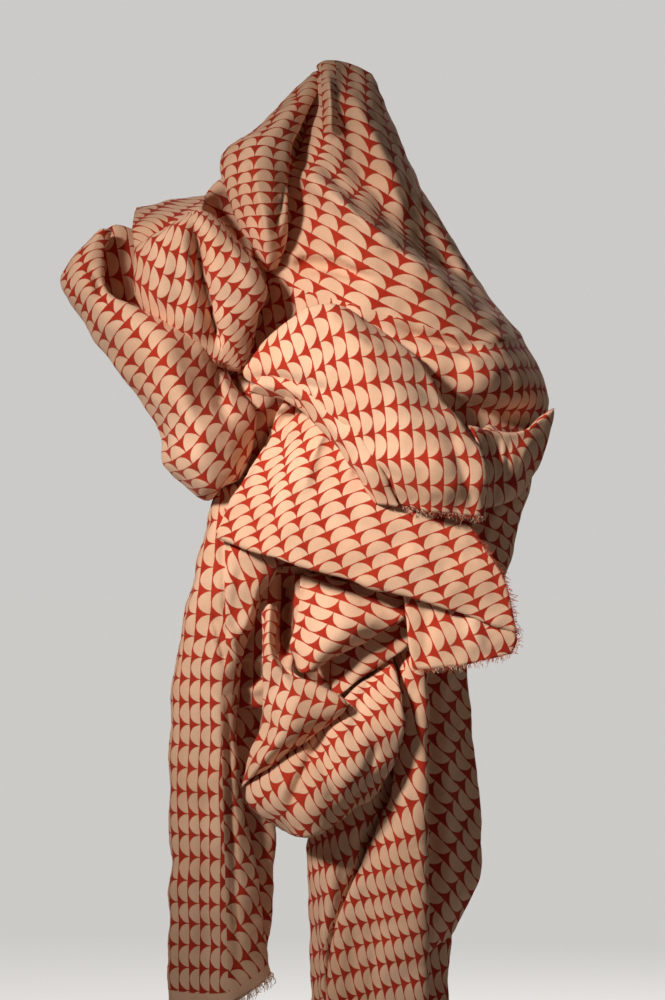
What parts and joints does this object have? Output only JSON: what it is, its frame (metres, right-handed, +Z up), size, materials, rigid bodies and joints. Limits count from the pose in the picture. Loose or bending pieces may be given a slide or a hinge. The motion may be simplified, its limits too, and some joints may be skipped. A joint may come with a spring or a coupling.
{
  "type": "draped printed cotton cloth",
  "caption": "Length of thin printed cotton, bunched up and hung from one point so that it falls in rolls, swags and two long tails.",
  "frame": {"origin": "the point that the cloth hangs from, at the top of its peak", "axes": "+Z up along the hang, +X to the right of the face that shows, +Y away from the viewer"},
  "size_m": [0.4924, 0.2767, 0.966],
  "materials": {
    "cotton": "matt plain weave, printed in cream and red"
  },
  "bodies": {
    "root": {"cloth": "cotton"}
  },
  "joints": []
}
